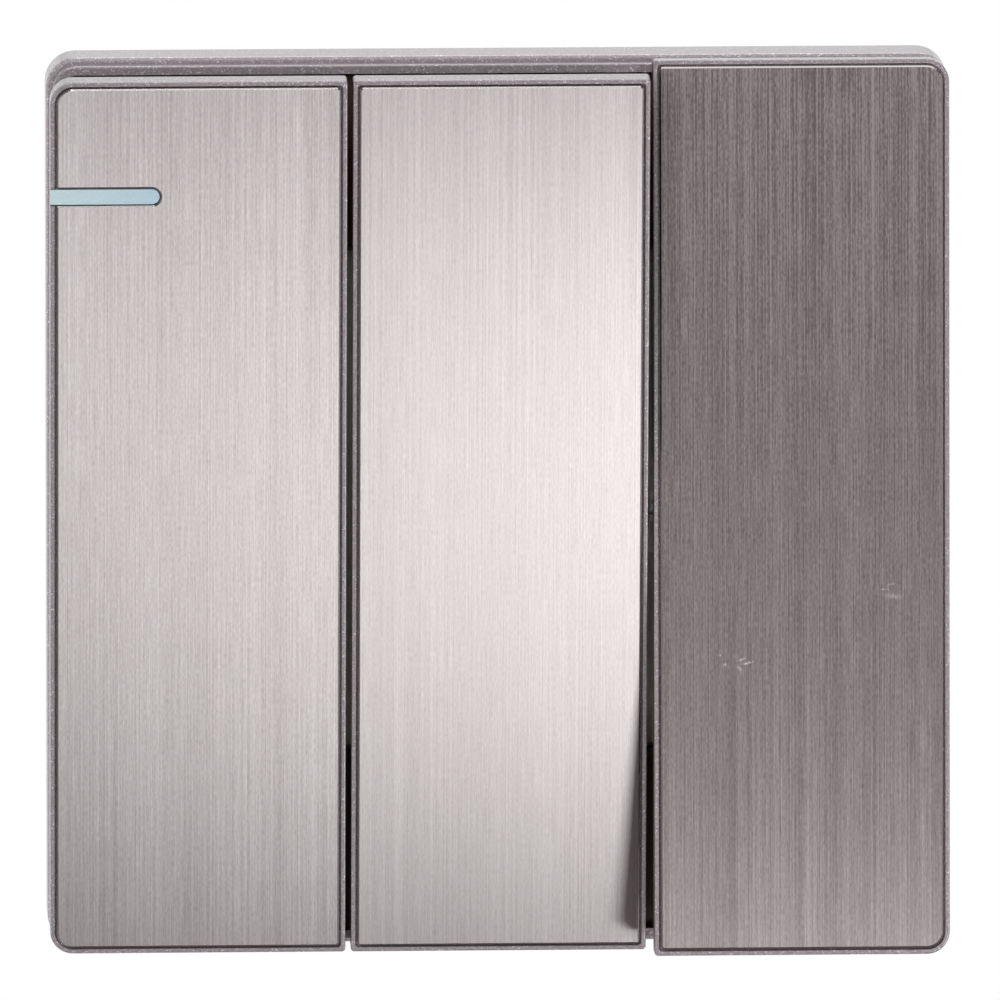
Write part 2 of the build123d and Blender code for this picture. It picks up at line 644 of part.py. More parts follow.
def build():
    """Every piece by name, in its rest position."""
    pieces = {
        "front_frame": make_front_frame(),
        "mounting_yoke": make_mounting_yoke(),
        "mechanism_cover": make_mechanism_cover(),
        "rear_housing": make_rear_housing(),
        "fixed_contact_tips": make_fixed_tips(),
        "terminal_screws": make_terminal_screws(),
        "assembly_screws": make_assembly_screws(),
    }
    for gang in GANGS:
        throw = TOP_OUT[gang]
        keyed = {
            f"rocker_{gang}": make_rocker(gang),
            f"face_plate_{gang}": make_face_plate(gang),
            f"key_carrier_{gang}": make_key_carrier(gang),
            f"plunger_spring_{gang}": make_plunger_spring(gang),
            f"plunger_{gang}": make_plunger(gang),
        }
        if gang == "left":
            keyed["glow_strip"] = make_glow_strip()
        switched = {
            f"contact_arm_{gang}": make_contact_arm(gang),
            f"contact_tip_{gang}": make_contact_tip(gang),
        }
        for name, piece in keyed.items():
            pieces[name] = rocked(piece, throw * ROCKER_TILT, PIVOT_OUT)
        for name, piece in switched.items():
            pieces[name] = rocked(piece, -throw * CONTACT_TILT, -CONTACT_DEPTH)
        pieces[f"common_terminal_{gang}"] = make_common_terminal(gang)
        pieces[f"load_terminal_{gang}"] = make_load_terminal(gang)
    return pieces


def main():
    os.makedirs("parts", exist_ok=True)
    for name, piece in build().items():
        solids = piece if isinstance(piece, list) else [piece]
        shape = Compound(children=solids) if len(solids) > 1 else solids[0]
        export_step(shape, f"parts/{name}.step")
        print(name, len(shape.solids()), round(shape.volume, 2))


if __name__ == "__main__":
    main()
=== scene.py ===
# %% [markdown]
# # A three-gang wall switch with brushed metal keys
# The solid model gives every piece its shape and place. This lesson dresses it: finishes for the
# lacquered frame and keys, the brushed plates, the glow strip and the hidden works, then a plain
# white studio and the camera. Everything is in metres, in the solid model's own frame:
# X to the right, Y into the wall and Z up, so the front of the switch faces -Y.

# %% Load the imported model
import json

import bpy
import numpy as np
from mathutils import Matrix, Vector


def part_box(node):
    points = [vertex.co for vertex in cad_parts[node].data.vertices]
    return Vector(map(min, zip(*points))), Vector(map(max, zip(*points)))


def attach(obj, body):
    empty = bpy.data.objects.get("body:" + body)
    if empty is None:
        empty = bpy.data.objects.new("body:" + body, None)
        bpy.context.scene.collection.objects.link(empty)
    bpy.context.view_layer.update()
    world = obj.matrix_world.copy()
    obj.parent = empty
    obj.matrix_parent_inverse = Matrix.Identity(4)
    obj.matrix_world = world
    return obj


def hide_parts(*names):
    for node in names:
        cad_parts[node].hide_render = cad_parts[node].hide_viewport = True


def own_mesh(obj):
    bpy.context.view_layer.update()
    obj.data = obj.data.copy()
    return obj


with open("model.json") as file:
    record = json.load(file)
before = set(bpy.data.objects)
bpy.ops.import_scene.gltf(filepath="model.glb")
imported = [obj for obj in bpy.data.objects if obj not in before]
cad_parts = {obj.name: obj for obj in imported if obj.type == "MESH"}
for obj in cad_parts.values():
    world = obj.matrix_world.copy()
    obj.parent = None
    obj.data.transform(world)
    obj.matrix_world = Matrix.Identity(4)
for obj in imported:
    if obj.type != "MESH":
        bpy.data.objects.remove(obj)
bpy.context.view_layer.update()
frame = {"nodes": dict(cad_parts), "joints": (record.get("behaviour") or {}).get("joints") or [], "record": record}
MM = 0.001
GANGS = ["left", "middle", "right"]

# %% [markdown]
# ## Two small helpers for finishes
# Paint charts and colour pickers give sRGB hex values, but the shader works with linear light, so
# one function converts them. A node tree can be wired by hand in the editor or by code. Here one
# function adds any node with its settings, values and links, so each finish reads as a short recipe.

# %% Colour and node helpers
def linear(code):
    """An sRGB hex colour as linear RGBA: each channel is raised to 2.4 after the sRGB offset and scale."""
    channels = np.array([int(code[i:i + 2], 16) for i in (1, 3, 5)]) / 255
    low = channels / 12.92
    high = ((channels + 0.055) / 1.055) ** 2.4
    return (*np.where(channels <= 0.04045, low, high), 1.0)


def add(tree, kind, inputs=None, **settings):
    """Add one node. Inputs are plain values, nodes (their first output) or output sockets."""
    made = tree.nodes.new("ShaderNode" + kind)
    for name, value in settings.items():
        setattr(made, name, value)
    for name, value in (inputs or {}).items():
        if isinstance(value, bpy.types.Node):
            value = value.outputs[0]
        if isinstance(value, bpy.types.NodeSocket):
            tree.links.new(value, made.inputs[name])
        else:
            made.inputs[name].default_value = value
    return made


def new_finish(name):
    """An empty node material and its tree."""
    finish = bpy.data.materials.new(name)
    finish.use_nodes = True
    finish.node_tree.nodes.clear()
    return finish, finish.node_tree


def per_metre(millimetres):
    """How many patterns of this size fit in a metre, which is the scale that a texture needs."""
    return 1 / (millimetres * MM)


FACTOR, COLOUR_A, COLOUR_B, MIXED = 0, 6, 7, 2  # sockets of a colour Mix node
finishes = {}
print("white in linear light:", linear("#FFFFFF"))

# %% [markdown]
# ## Brushed stainless plate
# A steel strip was drawn under an abrasive belt, so it is covered with fine vertical scratches. The
# eye sees hair lines, and light that is smeared sideways, across the scratches. Scratches could be
# modelled as bumps alone, but at a tenth of a millimetre they would only sparkle. So the shader's own
# anisotropy smears the light, along a tangent from the plate's UV map, and four noises that are
# stretched along Z draw the lines: long ones, short ones, the breaks between them, and the broad bands
# of a worn belt. Real hair lines are about 0.05 mm wide and are drawn nearly three times as wide to show.

# %% Hair lines of the brushed plate
HAIRS = [  # width and length of a line in millimetres, and its share
    (0.14, 90.0, 0.36),
    (0.14, 4.0, 0.24),
    (0.14, 0.5, 0.28),
    (2.50, 60.0, 0.12),
]

finish, tree = new_finish("stainless_steel_belt_brushed")
place = add(tree, "TexCoord").outputs["Object"]
hair = 0.0
for layer, (width, run, share) in enumerate(HAIRS):
    space = add(tree, "Mapping", {
        "Vector": place, "Location": (0, 10 * layer, 0), "Scale": (per_metre(width), 0, per_metre(run)),
    })
    lines = add(tree, "TexNoise", {"Vector": space, "Scale": 1, "Detail": 1})
    hair = add(tree, "Math", {0: lines, 1: share, 2: hair}, operation="MULTIPLY_ADD")
print("hair lines:", len(HAIRS), "layers")

# %% [markdown]
# ### Scuffs
# The right plate has a few faint white scuffs from handling. Each one is a small ellipse: the point is
# moved, turned and scaled so that the scuff becomes a unit circle, and the distance from its centre
# fades it out. A scuff is rubbed-off paint or paste, pale and dull, so it scatters light where the
# clean plate mirrors a dark room.

# %% Scuffs of the right plate
SCUFFS = [  # x, z, length and width in millimetres, slope in degrees, strength
    (23.58, -14.43, 1.3, 0.30, 14, 1.0),
    (22.91, -14.10, 1.3, 0.26, 17, 0.6),
    (21.40, -14.56, 0.5, 0.40, 0, 0.8),
    (20.92, -13.64, 0.6, 0.28, -15, 0.5),
    (22.81, -14.91, 0.7, 0.36, -40, 0.5),
    (36.55, -7.46, 1.4, 0.22, 0, 0.45),
    (37.30, -6.98, 1.2, 0.26, 5, 0.4),
    (37.40, -8.09, 2.6, 0.60, -5, 0.3),
    (33.75, 0.97, 0.4, 0.26, 0, 0.5),
    (17.29, 36.56, 0.8, 0.20, 35, 0.35),
    (18.64, 38.86, 0.3, 0.26, 0, 0.4),
    (16.50, 30.20, 0.7, 0.30, 20, 0.3),
    (17.96, 31.60, 0.5, 0.24, -30, 0.3),
]

scuffed = 0.0
for x, z, length, width, slope, strength in SCUFFS:
    unit = add(tree, "Mapping", {
        "Vector": place, "Location": (x * MM, 0, z * MM), "Rotation": (0, -np.radians(slope), 0),
        "Scale": (length * MM / 2, 1, width * MM / 2),
    }, vector_type="TEXTURE")
    reach = add(tree, "VectorMath", {0: unit}, operation="LENGTH").outputs["Value"]
    mark = add(tree, "MapRange", {"Value": reach, "To Min": strength, "To Max": 0})
    scuffed = add(tree, "Math", {0: mark, 1: scuffed}, operation="MAXIMUM")
print("scuffs:", len(SCUFFS))

# %% [markdown]
# ### The metal
# The lines vary the metal's colour and its polish a little. They stand out most high on the right plate,
# so an attribute on each plate's mesh says how strong its grain is. The bevel was cut after brushing and
# is nearly a mirror. A second attribute, one on the bevel and zero elsewhere, tells the two apart.

# %% Brushed metal and polished bevel
HAIR_LOW, HAIR_HIGH = 0.36, 0.64  # sums of the layers that make a full dark and a full light line
DARK_LINE_ROUGHNESS, LIGHT_LINE_ROUGHNESS = 0.31, 0.38
BEVEL_ROUGHNESS = 0.16
SCUFF_ROUGHNESS = 0.75
SCUFF_METALLIC = 0.2
SMEAR = 0.92  # anisotropy: none at 0, light drawn out fully across the scratches at 1
RELIEF_SHARE, RELIEF_DEPTH = 0.12, 0.006 * MM

grain = add(tree, "Attribute", attribute_name="grain").outputs["Fac"]
swing = add(tree, "MapRange", {
    "Value": hair, "From Min": HAIR_LOW, "From Max": HAIR_HIGH, "To Min": -0.5, "To Max": 0.5,
}, clamp=False)
bevel = add(tree, "Attribute", attribute_name="bevel").outputs["Fac"]
plain = add(tree, "Math", {0: 1, 1: bevel}, operation="SUBTRACT")
swing = add(tree, "Math", {0: swing, 1: plain}, operation="MULTIPLY")
contrast = add(tree, "Math", {0: swing, 1: grain, 2: 0.5}, operation="MULTIPLY_ADD", use_clamp=True)
steel = add(tree, "Mix", {
    FACTOR: contrast, COLOUR_A: linear("#B4ADAC"), COLOUR_B: linear("#F5F1F0"),
}, data_type="RGBA")
brushed = add(tree, "MapRange", {
    "Value": contrast, "To Min": DARK_LINE_ROUGHNESS, "To Max": LIGHT_LINE_ROUGHNESS,
})
scuffed = add(tree, "Math", {0: scuffed, 1: contrast}, operation="MULTIPLY")
cut = add(tree, "MapRange", {"Value": bevel, "To Min": brushed, "To Max": BEVEL_ROUGHNESS})
polish = add(tree, "MapRange", {"Value": scuffed, "To Min": cut, "To Max": SCUFF_ROUGHNESS})
rubbed = add(tree, "Mix", {
    FACTOR: scuffed, COLOUR_A: steel.outputs[MIXED], COLOUR_B: linear("#E6DEE0"),
}, data_type="RGBA")
metal = add(tree, "MapRange", {"Value": scuffed, "To Min": 1, "To Max": SCUFF_METALLIC})
relief = add(tree, "Bump", {"Height": swing, "Strength": RELIEF_SHARE, "Distance": RELIEF_DEPTH})
across = add(tree, "Tangent", direction_type="UV_MAP", uv_map="brush")
shader = add(tree, "BsdfPrincipled", {
    "Base Color": rubbed.outputs[MIXED], "Metallic": metal, "Roughness": polish, "Anisotropic": SMEAR,
    "Tangent": across, "Normal": relief,
})
add(tree, "OutputMaterial", {"Surface": shader})
finishes["brushed_plate"] = finish
print("brushed plate:", len(tree.nodes), "nodes")

# %% [markdown]
# ## Metallic lacquer
# The frame and the keys are moulded in black ABS and sprayed from the front with a lilac-grey lacquer full of
# aluminium flakes. The eye sees a soft metal sheen with tiny glints. The flakes lie nearly flat but not quite, so
# each cell of a Voronoi pattern gets its own shade and tips the normal a little. A few cells are also painted near
# white: painted glints. Real flakes are about 0.03 mm across, and these are drawn at 0.1 mm so that they show.

# %% Flakes of the lacquer
FLAKE = 0.10  # millimetres
FLAKE_TILT = 0.14  # added to the normal, which is 1 long
GLINT_FROM, GLINT_FULL = 0.93, 0.98  # a cell whose random green is as high as this glints

finish, tree = new_finish("metallic_lacquer_sprayed_on_abs")
coords = add(tree, "TexCoord")
place, facing = coords.outputs["Object"], coords.outputs["Normal"]
flakes = add(tree, "TexVoronoi", {"Vector": place, "Scale": per_metre(FLAKE)})
shade = add(tree, "SeparateColor", {"Color": flakes.outputs["Color"]})
# Painted glint: the few cells whose random green is this high are painted near white
painted_glint = add(tree, "MapRange", {"Value": shade.outputs[1], "From Min": GLINT_FROM, "From Max": GLINT_FULL})
lilac = add(tree, "Mix", {
    FACTOR: shade, COLOUR_A: linear("#8C8488"), COLOUR_B: linear("#ABA3A7"),
}, data_type="RGBA")
lacquer_with_painted_glints = add(tree, "Mix", {
    FACTOR: painted_glint, COLOUR_A: lilac.outputs[MIXED], COLOUR_B: linear("#DEDAE4"),
}, data_type="RGBA")
lean = add(tree, "VectorMath", {0: flakes.outputs["Color"], 1: (0.5, 0.5, 0.5)}, operation="SUBTRACT")
lean = add(tree, "VectorMath", {0: lean, "Scale": FLAKE_TILT}, operation="SCALE")
tipped = add(tree, "VectorMath", {0: add(tree, "NewGeometry").outputs["Normal"], 1: lean}, operation="ADD")
tipped = add(tree, "VectorMath", {0: tipped}, operation="NORMALIZE")
print("lacquer flakes of", FLAKE, "mm")

# %% [markdown]
# ### Where the spray reached, and the painted shade in the gaps
# The lacquer lies on the front and the outer walls. The walls in the narrow gaps, the recess behind the keys and
# the backs get a dark brown instead. It stands for the bare plastic that the spray didn't reach, and it is also
# painted shade in the gaps and the recess. A wall is lacquered if it lies outside a square that is nearly as large
# as the switch, and a front is lacquered if it lies out there or well in front. The squares of a normal's three
# parts add up to one, so they share out how much of the wall rules and of the front rule counts, and a rounded
# edge fades from one to the other.

# %% Lacquer over bare plastic and painted shade in the gaps
SPRAYED_HALF = 41.6 * MM  # walls beyond this, left, right, above and below, are outer walls
SPRAYED_FRONT = -5.95 * MM  # fronts nearer to the room than this are covered
LACQUER_METALLIC, LACQUER_ROUGHNESS = 0.45, 0.30
CLEAR_COAT, COAT_ROUGHNESS = 0.35, 0.12

outside = add(tree, "VectorMath", {0: place}, operation="ABSOLUTE")
outside = add(tree, "VectorMath", {0: outside, 1: (SPRAYED_HALF,) * 3}, operation="SUBTRACT")
outside = add(tree, "SeparateXYZ", {"Vector": outside})
wall_x = add(tree, "Math", {0: outside.outputs["X"], 1: 0}, operation="GREATER_THAN")
wall_z = add(tree, "Math", {0: outside.outputs["Z"], 1: 0}, operation="GREATER_THAN")
depth = add(tree, "SeparateXYZ", {"Vector": place}).outputs["Y"]
front = add(tree, "Math", {0: depth, 1: SPRAYED_FRONT}, operation="LESS_THAN")
front = add(tree, "Math", {0: front, 1: wall_x}, operation="MAXIMUM")
front = add(tree, "Math", {0: front, 1: wall_z}, operation="MAXIMUM")
looks_back = add(tree, "SeparateXYZ", {"Vector": facing}).outputs["Y"]
looks_out = add(tree, "Math", {0: looks_back, 1: 0}, operation="LESS_THAN")
front = add(tree, "Math", {0: front, 1: looks_out}, operation="MULTIPLY")
rules = add(tree, "CombineXYZ", {"X": wall_x, "Y": front, "Z": wall_z})
shares = add(tree, "VectorMath", {0: facing, 1: facing}, operation="MULTIPLY")
lacquered_not_gap_shade = add(tree, "VectorMath", {0: shares, 1: rules}, operation="DOT_PRODUCT").outputs["Value"]
# Dark brown where no lacquer lies: bare plastic, and painted shade in the gaps and the recess behind the keys
lacquer_and_painted_gap_shade = add(tree, "Mix", {
    FACTOR: lacquered_not_gap_shade, COLOUR_A: linear("#3B2D27"), COLOUR_B: lacquer_with_painted_glints.outputs[MIXED],
}, data_type="RGBA")
metal = add(tree, "Math", {0: lacquered_not_gap_shade, 1: LACQUER_METALLIC}, operation="MULTIPLY")
clear = add(tree, "Math", {0: lacquered_not_gap_shade, 1: CLEAR_COAT}, operation="MULTIPLY")
shader = add(tree, "BsdfPrincipled", {
    "Base Color": lacquer_and_painted_gap_shade.outputs[MIXED], "Metallic": metal, "Roughness": LACQUER_ROUGHNESS,
    "Normal": tipped, "Coat Weight": clear, "Coat Roughness": COAT_ROUGHNESS,
})
add(tree, "OutputMaterial", {"Surface": shader})
finishes["frame_paint"] = finish
print("lacquer:", len(tree.nodes), "nodes")

# %% [markdown]
# ## Glow strip
# The pale strip is a cast resin filled with a pigment that stores light, so the switch can be found
# in the dark. By day it is a milky blue-green, a little paler at its outer end. A cloud of fine
# pigment and some light scattered under the surface keep it from looking like paint.

# %% Glow resin
PIGMENT = 0.25  # millimetres
CLOUD_DIM, CLOUD_BRIGHT = 0.94, 1.04  # shares of the tint

finish, tree = new_finish("phosphorescent_resin_cast")
place = add(tree, "TexCoord").outputs["Object"]
strip_low, strip_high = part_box("glow_strip")
along = add(tree, "SeparateXYZ", {"Vector": place})
fade = add(tree, "MapRange", {"Value": along, "From Min": strip_low.x, "From Max": strip_high.x})
tint = add(tree, "Mix", {
    FACTOR: fade, COLOUR_A: linear("#ADC0C3"), COLOUR_B: linear("#A0B6C2"),
}, data_type="RGBA")
cloud = add(tree, "TexNoise", {"Vector": place, "Scale": per_metre(PIGMENT), "Detail": 2})
milk = add(tree, "MapRange", {
    "Value": cloud, "From Min": 0.3, "From Max": 0.7, "To Min": CLOUD_DIM, "To Max": CLOUD_BRIGHT,
})
resin = add(tree, "VectorMath", {0: tint.outputs[MIXED], "Scale": milk}, operation="SCALE")
shader = add(tree, "BsdfPrincipled", {
    "Base Color": resin, "Roughness": 0.32, "IOR": 1.5, "Subsurface Weight": 0.3,
    "Subsurface Radius": (1.0, 1.2, 1.2), "Subsurface Scale": 0.5 * MM,
})
add(tree, "OutputMaterial", {"Surface": shader})
finishes["glow_resin"] = finish
print("resin:", len(tree.nodes), "nodes")

# %% [markdown]
# ## Zinc-plated steel
# The yoke and the screws are pressed steel with a passivated zinc plating. It looks like a cool,
# slightly cloudy metal with a breath of straw yellow where the passivation is thicker, over the fine
# lines that the rolling mill left. Two noises do it: one in clouds, one stretched along X.

# %% Zinc-plated steel
CLOUD = 7.0  # millimetres, as are the width and the length of a mill line
MILL_LINE, MILL_RUN = 0.25, 18.0
SHINY, DULL = 0.3, 0.46  # roughness

finish, tree = new_finish("steel_zinc_plated")
place = add(tree, "TexCoord").outputs["Object"]
clouds = add(tree, "TexNoise", {"Vector": place, "Scale": per_metre(CLOUD), "Detail": 4, "Roughness": 0.6})
rolled_space = add(tree, "Mapping", {
    "Vector": place, "Scale": (per_metre(MILL_RUN), per_metre(MILL_LINE), per_metre(MILL_LINE)),
})
rolled = add(tree, "TexNoise", {"Vector": rolled_space, "Scale": 1, "Detail": 2})
patch = add(tree, "MapRange", {"Value": clouds, "From Min": 0.38, "From Max": 0.64})
zinc = add(tree, "Mix", {
    FACTOR: patch, COLOUR_A: linear("#AAAEB2"), COLOUR_B: linear("#BEBDB5"),
}, data_type="RGBA")
dull = add(tree, "MapRange", {
    "Value": clouds, "From Min": 0.3, "From Max": 0.7, "To Min": SHINY, "To Max": DULL,
})
relief = add(tree, "Bump", {"Height": rolled, "Strength": 0.15, "Distance": 0.03 * MM})
shader = add(tree, "BsdfPrincipled", {
    "Base Color": zinc.outputs[MIXED], "Metallic": 1.0, "Roughness": dull, "Normal": relief,
})
add(tree, "OutputMaterial", {"Surface": shader})
finishes["zinc_steel"] = finish
print("zinc:", len(tree.nodes), "nodes")

# %% [markdown]
# ## Moulded plastics
# The housing and its cover are nylon, moulded in a spark-eroded tool: ivory, dull, with a fine grain.
# The key carriers are acetal, whiter and more waxy. The plungers are dark glass-filled nylon with
# pale fibre ends. The three share one recipe with their own colours, grain and shine, so one loop
# makes them: a slow cloud of colour for the flow of the melt, and a fine noise for the grain.

# %% Moulded plastics
PLASTICS = {  # finish, deep and pale colour, grain in millimetres, roughness
    "housing_nylon": ("nylon_moulded_ivory", "#D9D5C9", "#E6E3DA", 0.20, 0.52),
    "carrier_acetal": ("acetal_moulded_white", "#DEDEDA", "#EBEBE8", 0.35, 0.36),
    "plunger_nylon": ("nylon_glass_filled_dark", "#2E3237", "#565B61", 0.12, 0.48),
}
MELT_FLOW = 9.0  # millimetres

for slot, (name, deep, pale, grain, dullness) in PLASTICS.items():
    finish, tree = new_finish(name)
    place = add(tree, "TexCoord").outputs["Object"]
    flow = add(tree, "TexNoise", {
        "Vector": place, "Scale": per_metre(MELT_FLOW), "Detail": 3, "Distortion": 0.6,
    })
    pits = add(tree, "TexNoise", {"Vector": place, "Scale": per_metre(grain), "Detail": 2, "Roughness": 0.7})
    speck = add(tree, "Math", {0: pits, 1: 0.5}, operation="MULTIPLY")
    melt = add(tree, "Math", {0: flow, 1: 0.5, 2: speck}, operation="MULTIPLY_ADD")
    spread = add(tree, "MapRange", {"Value": melt, "From Min": 0.38, "From Max": 0.62})
    body = add(tree, "Mix", {
        FACTOR: spread, COLOUR_A: linear(deep), COLOUR_B: linear(pale),
    }, data_type="RGBA")
    relief = add(tree, "Bump", {"Height": pits, "Strength": 0.2, "Distance": 0.03 * MM})
    shader = add(tree, "BsdfPrincipled", {
        "Base Color": body.outputs[MIXED], "Roughness": dullness, "IOR": 1.53, "Normal": relief,
    })
    add(tree, "OutputMaterial", {"Surface": shader})
    finishes[slot] = finish
    print(slot, "->", name)

# %% [markdown]
# ## Brass, silver and spring steel
# The terminals are pressed from brass strip, the contact tips are silver, and the springs are drawn
# wire. All three are bare metals that tarnish in clouds and carry the scratches of their making. As
# with the plastics, one loop makes them from their own colours, cloud size and shine.

# %% Bare metals
METALS = {  # finish, tarnished and bright colour, cloud in millimetres, roughness
    "terminal_brass": ("brass_pressed", "#A8823F", "#D8B46A", 3.0, 0.34),
    "contact_silver": ("silver_welded_tip", "#B9B6AF", "#E6E4DF", 0.8, 0.26),
    "spring_steel": ("spring_steel_drawn_wire", "#6F7378", "#A5A8AD", 0.5, 0.30),
}
SCRATCH_WIDTH, SCRATCH_LENGTH = 0.10, 2.5  # millimetres

for slot, (name, tarnish, bright, patch_size, dullness) in METALS.items():
    finish, tree = new_finish(name)
    place = add(tree, "TexCoord").outputs["Object"]
    clouds = add(tree, "TexNoise", {
        "Vector": place, "Scale": per_metre(patch_size), "Detail": 4, "Roughness": 0.6,
    })
    narrow, long = per_metre(SCRATCH_WIDTH), per_metre(SCRATCH_LENGTH)
    drawn_space = add(tree, "Mapping", {"Vector": place, "Scale": (narrow, long, narrow)})
    drawn = add(tree, "TexNoise", {"Vector": drawn_space, "Scale": 1, "Detail": 2})
    patch = add(tree, "MapRange", {"Value": clouds, "From Min": 0.36, "From Max": 0.6})
    metal = add(tree, "Mix", {
        FACTOR: patch, COLOUR_A: linear(tarnish), COLOUR_B: linear(bright),
    }, data_type="RGBA")
    dull = add(tree, "MapRange", {"Value": clouds, "To Min": dullness + 0.12, "To Max": dullness - 0.06})
    relief = add(tree, "Bump", {"Height": drawn, "Strength": 0.15, "Distance": 0.02 * MM})
    shader = add(tree, "BsdfPrincipled", {
        "Base Color": metal.outputs[MIXED], "Metallic": 1.0, "Roughness": dull, "Normal": relief,
    })
    add(tree, "OutputMaterial", {"Surface": shader})
    finishes[slot] = finish
    print(slot, "->", name)

# %% [markdown]
# ## Dress the solid pieces
# The record names a finish slot for every node, so one loop puts each finish on its pieces. The
# meshes themselves stay as they are.

# %% Finishes onto the solid pieces
for subpart in frame["record"]["subparts"]:
    frame["nodes"][subpart["node"]].material_slots[0].material = finishes[subpart["material_slot"]]

# %% [markdown]
# ## Brushed plates with a grain direction
# A solid model has no UV map, and the brushed finish needs one to know which way the belt ran. So
# each plate is made again as a surface: a short profile (back edge, wall, bevel) carried round the
# plate's outline, closed by a flat cap in front and behind. The outline is a rectangle with four
# rounded corners, and on the left plate a slot for the glow strip is let in from the outer edge.
# It is first made level, and then tipped round its hinge line as the solid plate is.

# %% Where each plate lies when its key is level
OUTER_CORNER_R, INNER_CORNER_R = 1.56 * MM, 0.35 * MM
BEVEL_WIDTH, BEVEL_DEPTH = 0.15 * MM, 0.09 * MM  # slanted so that it mirrors the room over the rim
SLOT_GAP = 0.12 * MM
EDGE_GAP = np.array([0.07, 0, 0.07]) * MM  # smaller than the solid, so that the dark line round it shows
GRAIN = {  # strength of the lines at the foot and at the top
    "left": (0.6, 0.6), "middle": (0.45, 0.45), "right": (0.7, 1.8),
}
CORNER_STEPS = 10

joints = {joint["name"]: joint for joint in frame["joints"]}


def hinge_turn(gang, share):
    """The turn about a key's hinge line by a share of its rest tilt, which is half its travel."""
    joint = joints["rocker_hinge_" + gang]
    tilt = -np.radians(np.mean(joint["range_deg"]))
    pivot = Matrix.Translation(joint["pos_m"])
    return np.array(pivot @ Matrix.Rotation(share * tilt, 4, "X") @ pivot.inverted())


def level_box(gang, node):
    """A node's lowest and highest corner after its key is turned back to level."""
    mesh = frame["nodes"][node].data
    points = np.empty(3 * len(mesh.vertices))
    mesh.vertices.foreach_get("co", points)
    turn = hinge_turn(gang, -1)
    level = points.reshape(-1, 3) @ turn[:3, :3].T + turn[:3, 3]
    return level.min(0), level.max(0)


for gang in GANGS:
    low, high = level_box(gang, "face_plate_" + gang)
    print("plate", gang, "is", np.round((high - low) / MM, 2), "mm")

# %% [markdown]
# ### The outline and the plate
# A corner is a quarter circle: its centre plus a radius times the cosine and sine of an angle. With
# the points of all the corners in order, the straight runs between them come free. Pulling the whole
# outline in by an inset moves each edge inwards and shrinks each radius, which gives the bevel's
# inner line with as many points as the outer one.

# %% Plate outline and plate surface
def add_mesh(name, points, faces, finish):
    """A new object in the scene, made of one mesh with one finish."""
    mesh = bpy.data.meshes.new(name)
    mesh.from_pydata(points.tolist(), [], faces)
    mesh.materials.append(finish)
    made = bpy.data.objects.new(name, mesh)
    bpy.context.scene.collection.objects.link(made)
    return made


def arc(centre_x, centre_z, radius, start, end):
    """Points on a circle: centre + radius * (cos, sin) of angles from start to end, in degrees."""
    angle = np.radians(np.linspace(start, end, CORNER_STEPS))
    return np.column_stack([centre_x + radius * np.cos(angle), centre_z + radius * np.sin(angle)])


def plate_outline(gang, low, high, inset):
    """The plate's outline in x and z, anticlockwise from the front, each edge pulled in by inset."""
    left_r = (OUTER_CORNER_R if gang == "left" else INNER_CORNER_R) - inset
    right_r = (OUTER_CORNER_R if gang == "right" else INNER_CORNER_R) - inset
    x0, x1 = low[0] + inset, high[0] - inset
    z0, z1 = low[2] + inset, high[2] - inset
    runs = [
        arc(x1 - right_r, z0 + right_r, right_r, -90, 0),
        arc(x1 - right_r, z1 - right_r, right_r, 0, 90),
        arc(x0 + left_r, z1 - left_r, left_r, 90, 180),
    ]
    if gang == "left":
        strip_low, strip_high = level_box("left", "glow_strip")
        slot_r = (strip_high[2] - strip_low[2]) / 2
        slot_x, slot_z = strip_high[0] - slot_r, (strip_high[2] + strip_low[2]) / 2
        slot_r += SLOT_GAP + inset
        runs.append([[x0, slot_z + slot_r]])
        runs.append(arc(slot_x, slot_z, slot_r, 90, -90))
        runs.append([[x0, slot_z - slot_r]])
    runs.append(arc(x0 + left_r, z0 + left_r, left_r, 180, 270))
    return np.vstack(runs)


def brushed_plate(gang):
    """Carry the profile (back, foot of the bevel, top of the bevel) round the outline and cap both ends."""
    low, high = level_box(gang, "face_plate_" + gang)
    low, high = low + EDGE_GAP, high - EDGE_GAP
    profile = [(0, high[1]), (0, low[1] + BEVEL_DEPTH), (BEVEL_WIDTH, low[1])]
    rings = []
    for inset, y in profile:
        ring = plate_outline(gang, low, high, inset)
        rings.append(np.column_stack([ring[:, 0], np.full(len(ring), y), ring[:, 1]]))
    level = np.vstack(rings)
    count = len(rings[0])
    turn = hinge_turn(gang, 1)
    points = level @ turn[:3, :3].T + turn[:3, 3]

    step = np.arange(count)
    ahead = np.roll(step, -1)
    wall = np.column_stack([step, ahead, ahead + count, step + count])
    faces = np.vstack([wall, wall + count]).tolist()
    faces.append((step + 2 * count).tolist())
    faces.append(step[::-1].tolist())

    plate = add_mesh("brushed_plate_" + gang, points, faces, finishes["brushed_plate"])
    mesh = plate.data
    corner = np.empty(len(mesh.loops), dtype=np.int32)
    mesh.loops.foreach_get("vertex_index", corner)
    brush = mesh.uv_layers.new(name="brush")
    brush.data.foreach_set("uv", level[corner][:, [0, 2]].ravel() / (high[2] - low[2]))
    bevel = mesh.attributes.new("bevel", "FLOAT", "FACE")
    bevel.data.foreach_set("value", np.repeat([1.0, 0.0], [2 * count, 2]))
    grain = mesh.attributes.new("grain", "FLOAT", "POINT")
    grain.data.foreach_set("value", np.interp(level[:, 2], (low[2], high[2]), GRAIN[gang]))
    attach(plate, "key_" + gang)
    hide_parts("face_plate_" + gang)
    return plate


for gang in GANGS:
    plate = brushed_plate(gang)
    print(plate.name, len(plate.data.vertices), "points")

# %% [markdown]
# ## Springs that give
# Inside each key's carrier a small coil presses the plunger on, and it shortens when the plunger is pushed in. A
# solid piece can't, so each coil is wound again as a surface with a mesh of its own. It could be a curve with a
# bevel, but an array of angles along the wire and round it needs no conversion.

# %% Plunger springs
WIRE = 0.42 * MM  # thickness
TURNS = 4
TURN_STEPS, WIRE_STEPS = 36, 10


